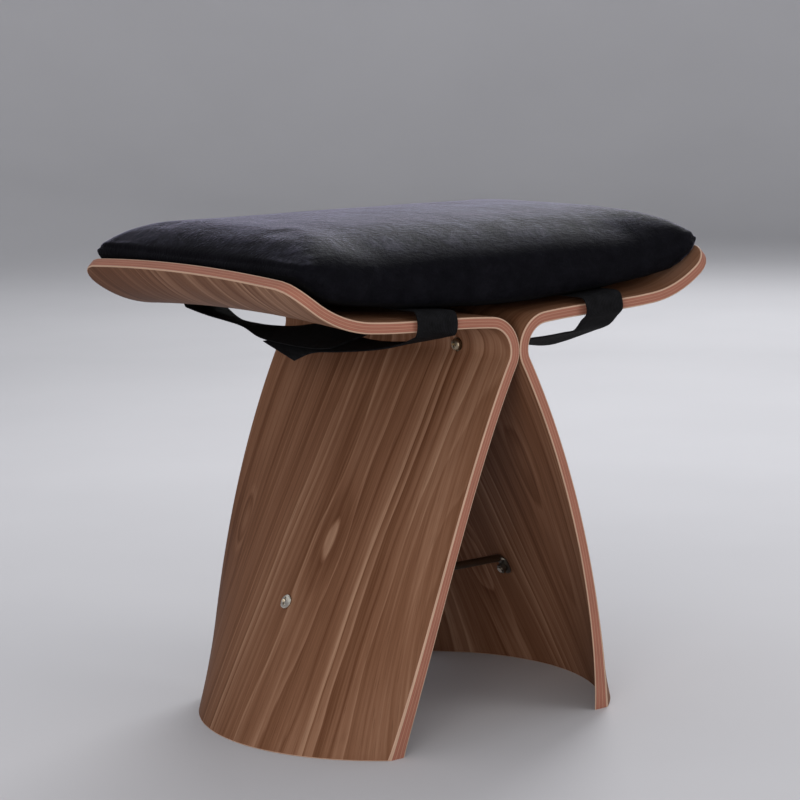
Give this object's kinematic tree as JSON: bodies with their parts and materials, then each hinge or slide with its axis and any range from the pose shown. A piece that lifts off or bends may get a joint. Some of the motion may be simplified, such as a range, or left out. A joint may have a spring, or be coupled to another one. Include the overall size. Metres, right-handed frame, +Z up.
{
  "type": "two-shell bent plywood stool",
  "caption": "Low stool of mirrored bent plywood shells bolted at the bend, with a metal stretcher between the legs and a dark padded cushion held by elastic straps.",
  "frame": {"origin": "on the floor, midway between the two feet, below the middle of the seat", "axes": "+X across the two wings towards the right shell, +Y towards the back, +Z up"},
  "size_m": [0.4452, 0.3248, 0.428],
  "materials": {
    "brown_veneer": "satin lacquered veneer, grain along each shell",
    "nickel_steel": "nickel plated",
    "charcoal_velour": "short-pile velour with a soft sheen",
    "black_lining": "plain woven lining",
    "seat_foam": "open-cell foam, covered all round",
    "black_elastic": "ribbed elastic webbing"
  },
  "bodies": {
    "root": {"bend_bolt_back": "nickel_steel", "bend_bolt_front": "nickel_steel", "bend_nut_back": "nickel_steel", "bend_nut_front": "nickel_steel", "bend_washer_left_back": "nickel_steel", "bend_washer_left_front": "nickel_steel", "bend_washer_right_back": "nickel_steel", "bend_washer_right_front": "nickel_steel", "cushion_base": "black_lining", "cushion_cover": "charcoal_velour", "cushion_foam": "seat_foam", "left_shell": "brown_veneer", "leg_nut_left": "nickel_steel", "leg_nut_right": "nickel_steel", "leg_screw_left": "nickel_steel", "leg_screw_right": "nickel_steel", "right_shell": "brown_veneer", "strap_left_back": "black_elastic", "strap_left_front": "black_elastic", "strap_right_back": "black_elastic", "strap_right_front": "black_elastic", "stretcher_rod": "nickel_steel"}
  },
  "joints": []
}
